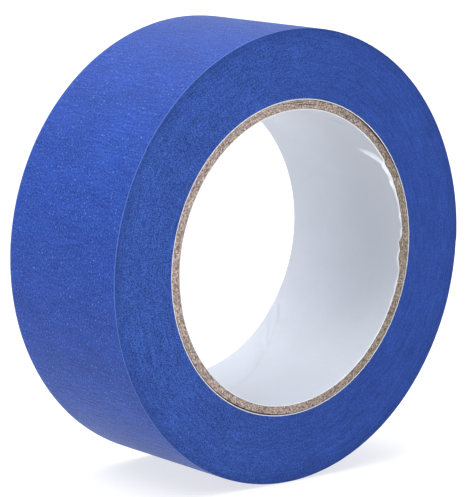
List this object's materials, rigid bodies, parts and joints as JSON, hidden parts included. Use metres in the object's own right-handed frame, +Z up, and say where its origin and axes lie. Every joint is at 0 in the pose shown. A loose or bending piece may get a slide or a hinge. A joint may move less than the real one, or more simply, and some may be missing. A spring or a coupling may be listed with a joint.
{
  "type": "masking tape roll",
  "caption": "Roll of crepe paper masking tape wound on a white-lined greyboard core, with a loose end that peels away from the roll.",
  "frame": {"origin": "middle of the core's bore, on its axis and half way across the tape's width", "axes": "+Y along the bore axis, away from the side that faces the viewer; +Z up with the roll standing on its tread; +X to the right seen from the -Y side, where the tape's cut end lies"},
  "size_m": [0.1173, 0.0426, 0.1173],
  "materials": {
    "liner_paper": "smooth white kraft liner paper, faintly cool",
    "greyboard": "raw recycled greyboard, cut end",
    "wrap_paper": "thin white paper",
    "tape_side": "stacked cut edges of blue crepe paper, matte",
    "tape_backing": "blue crepe paper, matte with a fine crinkle",
    "adhesive": "blue paper seen through a clear rubbery adhesive coat, satin"
  },
  "bodies": {
    "roll": {"core_liner": "liner_paper", "core_ply_1": "greyboard", "core_ply_2": "greyboard", "core_ply_3": "greyboard", "core_ply_4": "greyboard", "core_wrap": "wrap_paper", "tape_pack": "tape_side", "outer_turn": "tape_backing"},
    "end_link_1": {"end_backing_1": "tape_backing", "end_adhesive_1": "adhesive"},
    "end_link_2": {"end_backing_2": "tape_backing", "end_adhesive_2": "adhesive"},
    "end_link_3": {"end_backing_3": "tape_backing", "end_adhesive_3": "adhesive"},
    "end_link_4": {"end_backing_4": "tape_backing", "end_adhesive_4": "adhesive"},
    "end_link_5": {"end_backing_5": "tape_backing", "end_adhesive_5": "adhesive"},
    "end_link_6": {"end_backing_6": "tape_backing", "end_adhesive_6": "adhesive"}
  },
  "joints": [
    {"name": "peel", "type": "hinge", "parent": "roll", "child": "end_link_1", "pos_m": [0.02934, 0, 0.05082], "axis": [0, -1, 0], "range_deg": [0, 60]},
    {"name": "curl_2", "type": "hinge", "parent": "end_link_1", "child": "end_link_2", "pos_m": [0.03772, 0, 0.04495], "axis": [0, -1, 0], "range_deg": [0, 6]},
    {"name": "curl_3", "type": "hinge", "parent": "end_link_2", "child": "end_link_3", "pos_m": [0.04495, 0, 0.03772], "axis": [0, -1, 0], "range_deg": [0, 6]},
    {"name": "curl_4", "type": "hinge", "parent": "end_link_3", "child": "end_link_4", "pos_m": [0.05083, 0, 0.02934], "axis": [0, -1, 0], "range_deg": [0, 6]},
    {"name": "curl_5", "type": "hinge", "parent": "end_link_4", "child": "end_link_5", "pos_m": [0.05515, 0, 0.02007], "axis": [0, -1, 0], "range_deg": [0, 6]},
    {"name": "curl_6", "type": "hinge", "parent": "end_link_5", "child": "end_link_6", "pos_m": [0.0578, 0, 0.01019], "axis": [0, -1, 0], "range_deg": [0, 6]}
  ],
  "couplings": [
    {"joint": "curl_2", "follows": "peel", "ratio": 0.1},
    {"joint": "curl_3", "follows": "peel", "ratio": 0.1},
    {"joint": "curl_4", "follows": "peel", "ratio": 0.1},
    {"joint": "curl_5", "follows": "peel", "ratio": 0.1},
    {"joint": "curl_6", "follows": "peel", "ratio": 0.1}
  ]
}
